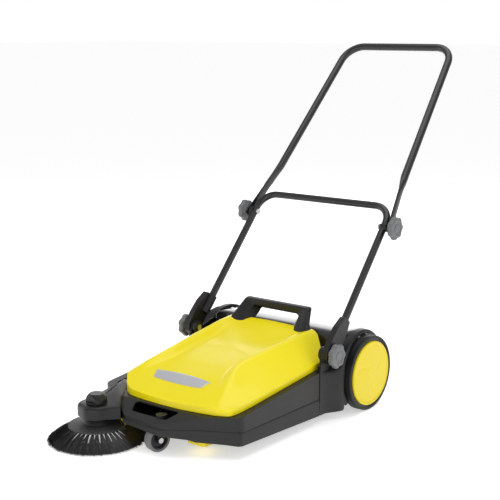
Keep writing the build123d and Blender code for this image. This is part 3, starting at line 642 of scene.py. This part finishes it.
def nearest_on_ridge(x, y):
    """The place on the arm's ridge that is nearest to x, y seen from above."""
    best = None
    for a, b in zip(ARM_RIDGE, ARM_RIDGE[1:]):
        run = Vector((b.x - a.x, b.y - a.y, 0))
        share = max(0, min(1, Vector((x - a.x, y - a.y, 0)).dot(run) / run.length_squared))
        spot = a + (b - a) * share
        gap = (Vector((x, y, 0)) - Vector((spot.x, spot.y, 0))).length
        if best is None or gap < best[0]:
            best = (gap, spot)
    return best[1]


def make_brush_arm():
    """The arm over the side brush: a round drum whose top rises to the hood's left front corner."""
    outline = []
    arc_steps = 16
    for step in range(arc_steps + 1):
        angle = math.radians(150 + 195 * step / arc_steps)
        reach = min(DRUM_RADIUS, DRUM_FLAT / max(0.2, math.cos(angle - math.radians(250))))
        spoke = (reach * math.cos(angle), reach * math.sin(angle))
        outline.append((DRUM_PLACE[0] + spoke[0], DRUM_PLACE[1] + spoke[1], DRUM_TOP))
    outline += ARM_EDGE
    rings = []
    for inset, drop in ARM_ROUNDING:
        ring = []
        for x, y, top in outline:
            spot = nearest_on_ridge(x, y)
            away = Vector((x - spot.x, y - spot.y, 0))
            share = min(inset / max(away.length, 1), 0.92)
            height = ARM_BASE if drop is None else (top - drop) + (spot.z - top) * smooth_step(share)
            ring.append(at(x - away.x * share, y - away.y * share, height))
        rings.append(ring)
    points, faces = loft(rings)
    return make_piece("arm_shell", points, faces, "base", "black_plastic", ("brush_arm",), 40)


def make_nose_bumper():
    """The lower band of the body: over the castor, round the front corner and back to the side seam."""
    corners = [(-64, -598, 0), (60, -598, 0), (127, -549, 0), (221, -497, 0), (222, -178, 0)]
    line = round_off(corners, [0, 16, 30, 12, 0], 6)
    corner_x = 200
    side_floor = [(-497, 33), (-176, 20.5)]
    band_top = [(-600, 69), (-176, 66)]
    rings = []
    for index, spot in enumerate(line):
        before, after = line[max(index - 1, 0)], line[min(index + 1, len(line) - 1)]
        run = (after - before).normalized()
        out = Vector((run.y, -run.x, 0))
        low = 50 - 9 * smooth_step(between(spot.x, 70, 120)) + 8 * smooth_step(between(-spot.x, 5, 45))
        if spot.x > corner_x:
            low = min(low, along_line(side_floor, spot.y))
        else:
            low -= 8 * between(spot.x, 127, corner_x)
        top = along_line(band_top, spot.y)
        ring = [(-1, low), (1.6, low), (2.4, low + 1), (1.6, top - 6), (0.8, top - 2), (-1, top)]
        rings.append([at(spot.x + out.x * off, spot.y + out.y * off, z) for off, z in ring])
    points, faces = loft(rings)
    return make_piece("nose_bumper", points, faces, "base", "black_plastic", (), 40)


# The handle's pivot is (y, height). The flare's outer face is (y, distance from the middle plane).
PIVOT_PLACE = (-147, 178)
HOLLOW_RADIUS = 46
FLARE = [(-176, 223.6), (-168, 224.6), (-158, 227), (-147, 231), (-136, 237), (-125, 243), (-115, 248),
         (-107, 250.5), (-103, 250)]


def wheel_flare(side):
    """The flare in front of a wheel, hollowed out under the handle's pivot."""
    rings = []
    inner, floor = 220, 21
    for y, x in FLARE:
        hollow = PIVOT_PLACE[1] - math.sqrt(max(HOLLOW_RADIUS ** 2 - (y - PIVOT_PLACE[0]) ** 2, 0))
        ring = [(inner, floor), (x - 3, floor), (x, floor + 5), (x, 70), (x, hollow - 10),
                (x - 1.5, hollow - 4), (x - (x - inner) * 0.45, hollow + 1), (inner, hollow + 6)]
        rings.append([at(side * px, y, z) for px, z in ring])
    return loft(rings)


def wheel_arch(side):
    """The arch that follows the tyre from below its front to behind its top."""
    rings = []
    inner, low, high, steps = 219, 102.5, 112.5, 72
    for step in range(steps + 1):
        angle = math.radians(-40 + 190 * step / steps)
        reach = 246 - 11 * smooth_step(between(angle, math.radians(20), math.radians(110)))
        section = [(inner, low), (reach, low), (reach + 0.8, 104), (reach - 1, 110), (reach - 3, 112),
                   (inner, high)]
        ring = []
        for x, r in section:
            ring.append(at(side * x, -r * math.cos(angle), WHEEL_RADIUS + r * math.sin(angle)))
        rings.append(ring)
    return loft(rings)


def make_wheel_guard(side):
    """One side's flare and arch round its wheel."""
    points, faces = joined(wheel_flare(side), wheel_arch(side))
    name = "wheel_guard_right" if side > 0 else "wheel_guard_left"
    return make_piece(name, points, faces, "base", "black_plastic", (), 40)


# ---------------------------------------------------------------- handle tubes and knobs

def make_lower_tube():
    """One bent tube: two legs and the crossbar between them."""
    foot, bar = (224, -69, 251), (219, 165, 519)
    radius, bend, socket_depth = 10, 52, 55
    direction = (Vector(bar) - Vector(foot)).normalized()
    end = Vector(foot) - direction * socket_depth
    corners = [at(*end), at(*bar), at(-bar[0], *bar[1:]), at(-end.x, end.y, end.z)]
    line = round_off(corners, bend * MM, 10)
    points, faces = swept(line, lambda share: circle(radius, 32), (1, 0, 0))
    return make_piece("lower_tube_bent", points, faces, "lower_handle", "painted_tube", ("lower_tube",), 50)


def make_upper_tube():
    """The push bar: one tube with pressed-flat ends that the clamp bolts pass through."""
    joint_y, joint_z = from_datum(middle("joint_knob_right"))[1:]
    flat_x, kink, top = 238.5, Vector((212, 240, 594)), Vector((181, 554, 940))
    radius, past_bolt, before_kink = 11, 13, 34
    joint = Vector((flat_x, joint_y, joint_z))
    run = (kink - joint).normalized()
    half = [joint - run * past_bolt, kink - run * before_kink, kink, top]
    corners = [at(*p) for p in half] + [at(-p.x, p.y, p.z) for p in reversed(half)]
    radii = [0, 40 * MM, 60 * MM, 60 * MM, 60 * MM, 60 * MM, 40 * MM, 0]
    line = round_off(corners, radii, 10)
    total = sum((b - a).length for a, b in zip(line, line[1:])) / MM
    flat_end, round_start = 120, 185

    def section(share):
        reach = min(share, 1 - share) * total
        flat = 1 - smooth_step(between(reach, flat_end, round_start))
        thin, wide = radius - 8.2 * flat, radius + 2.5 * flat
        return [(thin * math.cos(a), wide * math.sin(a)) for a in [2 * math.pi * i / 32 for i in range(32)]]

    dense = []
    for a, b in zip(line, line[1:]):
        pieces = max(1, int((b - a).length / (8 * MM)))
        dense += [a + (b - a) * i / pieces for i in range(pieces)]
    dense.append(line[-1])
    points, faces = swept(dense, section, (1, 0, 0))
    return make_piece("push_bar", points, faces, "upper_handle", "painted_tube", ("upper_tube",), 50)


def make_knob(node):
    """A clamp knob: seven soft lobes, a waisted collar and a shallow dish in its face.

    Each profile row is the radius, the distance from the tube's side, and how strongly it is lobed.
    """
    low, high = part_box(node)
    centre = (low + high) / 2
    side = 1 if "right" in node else -1
    centre.x = low.x if side > 0 else high.x
    profile = [(19, 0, 0), (21, 1.2, 0), (21, 3.5, 0.1), (27, 5, 0.8), (29.2, 8, 1), (29.4, 15, 1),
               (28, 18.4, 1), (25, 20, 0.9), (20, 20, 0.3), (18.5, 18.6, 0), (12, 18.2, 0), (11, 19.6, 0),
               (8, 20, 0), (0.0, 20, 0)]
    steps, lobes = 112, 7
    rings = [[centre] * steps]
    for radius, along, lobed in profile:
        ring = []
        for step in range(steps):
            angle = 2 * math.pi * step / steps
            wave = 0.5 + 0.5 * math.cos(lobes * angle)
            reach = radius + lobed * (3.4 * smooth_step(wave) - 0.6)
            spoke = Vector((side * along, reach * math.cos(angle), reach * math.sin(angle)))
            ring.append(centre + spoke * MM)
        rings.append(ring)
    points, faces = loft(rings, capped=False)
    return make_piece(node + "_grip", points, faces, body_of_node[node], "knob_grey", (node,), 32)


# ---------------------------------------------------------------- drive wheels

def make_tyre(node):
    """A tread band with rounded shoulders and two shallow grooves."""
    low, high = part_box(node)
    centre = (low + high) / 2
    narrow, seat, groove_floor = 4, WHEEL_RADIUS - 8, WHEEL_RADIUS - 1.2
    half = (high.x - low.x) / 2 / MM - narrow
    centre.x += narrow * MM if "right" in node else -narrow * MM
    outline = [(-half, seat), (-half, WHEEL_RADIUS), (-8, WHEEL_RADIUS), (-8, groove_floor),
               (-5.5, groove_floor), (-5.5, WHEEL_RADIUS), (5.5, WHEEL_RADIUS), (5.5, groove_floor),
               (8, groove_floor), (8, WHEEL_RADIUS), (half, WHEEL_RADIUS), (half, seat)]
    radii = [0, 6, 0, 0, 0, 0, 0, 0, 0, 0, 6, 0]
    line = round_off([(x, r, 0) for x, r in outline], radii, 6)
    profile = [(p.y, p.x) for p in line]
    points, faces = turned(profile + [profile[0]], centre, (1, 0, 0), 128)
    faces = faces[:-2]  # the band meets itself, so it needs no end faces
    return make_piece(node + "_tread", points, faces, body_of_node[node], "tread_rubber", (node,), 40)


def make_hub_cap(node):
    """A domed disc with a raised rim and three swept ribs pressed into it."""
    low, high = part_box(node)
    side = 1 if "right" in node else -1
    outer = high.x if side > 0 else low.x
    centre = (low + high) / 2
    centre.x = outer
    steps, disc_radius, disc_rings = 144, 78.5, 26
    radii = [86, 86, 85.2, 83.5, 81, 79.5, disc_radius]
    radii += [disc_radius * (1 - i / disc_rings) for i in range(1, disc_rings + 1)]
    heights = [-9, -2.2, -0.8, 0, 0, -0.8, -1.8]
    rings = []
    for index, radius in enumerate(radii):
        ring = []
        for step in range(steps):
            angle = 2 * math.pi * step / steps
            if index < len(heights):
                along = heights[index]
            else:
                dome = -1.8 + 1.2 * (1 - (radius / disc_radius) ** 2)
                swirl = 3 * (angle - 0.9 * radius / disc_radius)
                rib = math.exp(-((math.remainder(swirl, 2 * math.pi)) / 0.34) ** 2)
                spread = smooth_step(between(radius, 14, 30)) * smooth_step(between(78 - radius, 0, 8))
                hub = 0.9 * (1 - smooth_step(between(radius, 15, 19)))
                along = dome - 1.1 * rib * spread + hub * 0.6
            spoke = Vector((0, math.cos(angle), math.sin(angle))) * radius
            ring.append(centre + (Vector((side * along, 0, 0)) + spoke) * MM)
        rings.append(ring)
    points, faces = loft(rings, capped=False)
    return make_piece(node + "_disc", points, faces, body_of_node[node], "yellow_plastic", (node,), 40, [
        ("SOLIDIFY", {"thickness": 2.2 * MM, "offset": -1}),
    ])


# ---------------------------------------------------------------- brushes

def bristle(root, tip, bend, radius):
    """A thin tapered bristle: three sides, four spans, bent by the given offset at its middle."""
    rings = []
    along = (tip - root).normalized()
    side = along.cross(Vector((0.3, 0.2, 1))).normalized()
    up = along.cross(side)
    for step in range(5):
        share = step / 4
        place = root + (tip - root) * share + bend * (4 * share * (1 - share))
        thick = radius * (1 - 0.55 * share)
        rings.append([place + (side * math.cos(a) + up * math.sin(a)) * thick for a in (0, 2.1, 4.2)])
    return loft(rings)


# Each ring of the bed is its radius and height in metres, and 1 where its rim is ragged.
BED_RINGS = ((0.085, 0.022, 0), (0.1, 0.0155, 0), (0.119, 0.004, 1), (0.1188, 0.0025, 1), (0.1, 0.0135, 0),
             (0.085, 0.020, 0))


def bristle_bed(centre, tufts):
    """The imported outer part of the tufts, notched between them and ragged at the rim."""
    rings = []
    steps = 360
    for radius, height, jagged in BED_RINGS:
        ring = []
        for step in range(steps):
            angle = 2 * math.pi * step / steps
            ragged = radius - jagged * 0.003 * (0.5 + 0.5 * math.sin(step * 2.6) * math.cos(step * 1.7))
            notch = 0.5 + 0.5 * math.cos(tufts * angle)
            ragged += (1 - jagged) * 0.006 * (1 - notch)
            place = (centre.x + ragged * math.cos(angle), centre.y + ragged * math.sin(angle), height)
            ring.append(Vector(place))
        rings.append(ring)
    return loft(rings + [rings[0]], capped=False)


def make_side_bristles():
    """Tufts that flare from the brush plate's rim down to the floor."""
    chance = random.Random(4)
    low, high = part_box("brush_bristles")
    centre = (low + high) / 2
    hub = Vector((centre.x, centre.y, 0))
    reach = (high.x - low.x) / 2
    tufts, per_tuft = 40, 30
    shapes = []
    for tuft in range(tufts):
        heading = 2 * math.pi * tuft / tufts
        for _ in range(per_tuft):
            angle = heading + chance.uniform(-0.042, 0.042)
            spread = heading + (angle - heading) * 2.1 + chance.gauss(0, 0.015)
            start_radius = 0.068 + chance.uniform(-0.0025, 0.0025)
            root = hub + Vector((math.cos(angle), math.sin(angle), 0)) * start_radius
            root.z = high.z - 0.001 + chance.uniform(-0.001, 0.0)
            length = reach * chance.uniform(0.93, 0.995)
            tip = hub + Vector((math.cos(spread), math.sin(spread), 0)) * length
            tip.z = 0.0012 + chance.uniform(0, 0.003)
            lift = Vector((0, 0, chance.uniform(0.002, 0.005)))
            shapes.append(bristle(root, tip, lift, 0.0011))
    shapes.append(bristle_bed(centre, tufts))
    points, faces = joined(*shapes)
    return make_piece("side_bristles", points, faces, "side_brush", "bristle_black", ("brush_bristles",), 60)


def make_roller_tufts():
    """Rows of tufts along the roller, set in a shallow chevron."""
    chance = random.Random(9)
    low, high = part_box("roller_bristles")
    centre = (low + high) / 2
    outer = (high.z - low.z) / 2
    core_low, core_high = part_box("roller_core")
    inner = (core_high.z - core_low.z) / 2
    shapes = []
    rows, tufts, per_tuft = 6, 58, 5
    for row in range(rows):
        for tuft in range(tufts):
            share = (tuft + 0.5) / tufts
            x = low.x + (high.x - low.x) * share
            angle = 2 * math.pi * row / rows + 0.35 * abs(2 * share - 1)
            for _ in range(per_tuft):
                lean = angle + chance.gauss(0, 0.03)
                base = angle + chance.gauss(0, 0.05)
                root = Vector((x + chance.gauss(0, 0.0008), centre.y + math.cos(base) * inner,
                               centre.z + math.sin(base) * inner))
                tip_x = min(max(x + chance.gauss(0, 0.0016), low.x), high.x)
                tip = Vector((tip_x, centre.y + math.cos(lean) * outer * 0.99,
                              centre.z + math.sin(lean) * outer * 0.99))
                shapes.append(bristle(root, tip, Vector((0, 0, 0)), 0.0009))
    points, faces = joined(*shapes)
    return make_piece("roller_tufts", points, faces, "roller", "bristle_black", ("roller_bristles",), 60)


make_hood()
make_badge()
make_waste_container()
make_carry_handle()
make_brush_arm()
make_nose_bumper()
make_wheel_guard(1)
make_wheel_guard(-1)
make_lower_tube()
make_upper_tube()
for knob_node in ("pivot_knob_left", "pivot_knob_right", "joint_knob_left", "joint_knob_right"):
    make_knob(knob_node)
for side_name in ("left", "right"):
    make_tyre("tyre_" + side_name)
    make_hub_cap("hub_cap_" + side_name)
make_side_bristles()
make_roller_tufts()


# ---------------------------------------------------------------- floor, light and camera

def make_floor():
    """A wide pale floor that glows a little, so that it runs into the backdrop."""
    size = 60.0
    corners = [(-size, -size, 0), (size, -size, 0), (size, size, 0), (-size, size, 0)]
    mesh = bpy.data.meshes.new("floor")
    mesh.from_pydata(corners, [], [(0, 1, 2, 3)])
    floor = bpy.data.objects.new("floor", mesh)
    bpy.context.scene.collection.objects.link(floor)
    material = bpy.data.materials.new("studio_floor")
    material.use_nodes = True
    tree = material.node_tree
    shader = tree.nodes["Principled BSDF"]
    shader.inputs["Roughness"].default_value = 0.7
    shader.inputs["Specular IOR Level"].default_value = 0.2
    shader.inputs["Emission Color"].default_value = (1, 1, 1, 1)
    shader.inputs["Emission Strength"].default_value = 0.5
    clouds = add_node(tree, "ShaderNodeTexNoise", Scale=1.5, Detail=2.0)
    tone = add_node(tree, "ShaderNodeMix", data_type="RGBA")
    tone.inputs[6].default_value = (0.95, 0.95, 0.95, 1)
    tone.inputs[7].default_value = (0.93, 0.93, 0.93, 1)
    tree.links.new(clouds.outputs["Fac"], tone.inputs[0])
    tree.links.new(tone.outputs[2], shader.inputs["Base Color"])
    mesh.materials.append(material)


def area_light(name, place, target, size, power):
    """A soft rectangular lamp at a place, turned toward a target and hidden from the camera."""
    light = bpy.data.lights.new(name, "AREA")
    light.shape = "RECTANGLE"
    light.size, light.size_y = size
    light.energy = power
    lamp = bpy.data.objects.new(name, light)
    lamp.location = place
    lamp.visible_camera = False
    lamp.rotation_euler = (Vector(target) - Vector(place)).to_track_quat("-Z", "Y").to_euler()
    bpy.context.scene.collection.objects.link(lamp)


def make_studio():
    """A bright backdrop, a dimmer sky that lights the machine, and five soft lamps round it."""
    world = bpy.data.worlds.new("studio")
    bpy.context.scene.world = world
    world.use_nodes = True
    tree = world.node_tree
    sky = tree.nodes["Background"]
    sky.inputs["Color"].default_value = (1, 1, 1, 1)
    sky.inputs["Strength"].default_value = 0.5
    backdrop = add_node(tree, "ShaderNodeBackground", Color=(1, 1, 1, 1), Strength=1.0)
    seen = tree.nodes.new("ShaderNodeLightPath")
    choice = tree.nodes.new("ShaderNodeMixShader")
    tree.links.new(seen.outputs["Is Camera Ray"], choice.inputs["Fac"])
    tree.links.new(sky.outputs[0], choice.inputs[1])
    tree.links.new(backdrop.outputs[0], choice.inputs[2])
    tree.links.new(choice.outputs[0], tree.nodes["World Output"].inputs["Surface"])
    area_light("overhead", (0.2, 0.3, 2.6), (0, 0, 0.1), (2.2, 2.2), 26)
    area_light("back_wall", (-2.0, 3.6, 1.0), (0, 0, 0.4), (4.5, 2.2), 60)
    area_light("front_wall", (0.9, -3.0, 0.7), (0, -0.4, 0.1), (3.0, 1.0), 14)
    area_light("left_wall", (-2.4, -1.2, 1.3), (0, 0, 0.2), (1.6, 1.6), 9)
    area_light("right_wall", (2.6, 0.2, 1.1), (0, 0, 0.2), (1.2, 1.8), 9)
    bpy.context.scene.view_settings.view_transform = "Standard"


def make_camera():
    """A long lens, right of and in front of the machine, a little above the handle's joint."""
    camera = bpy.data.cameras.new("camera")
    camera.lens = 81.33
    camera.sensor_width = 36
    eye = bpy.data.objects.new("camera", camera)
    eye.location = (1.78895, -2.3769, 0.9963)
    eye.rotation_euler = (math.radians(90 - 11.1062), 0, math.radians(38.1081))
    bpy.context.scene.collection.objects.link(eye)
    bpy.context.scene.camera = eye


make_floor()
make_studio()
make_camera()
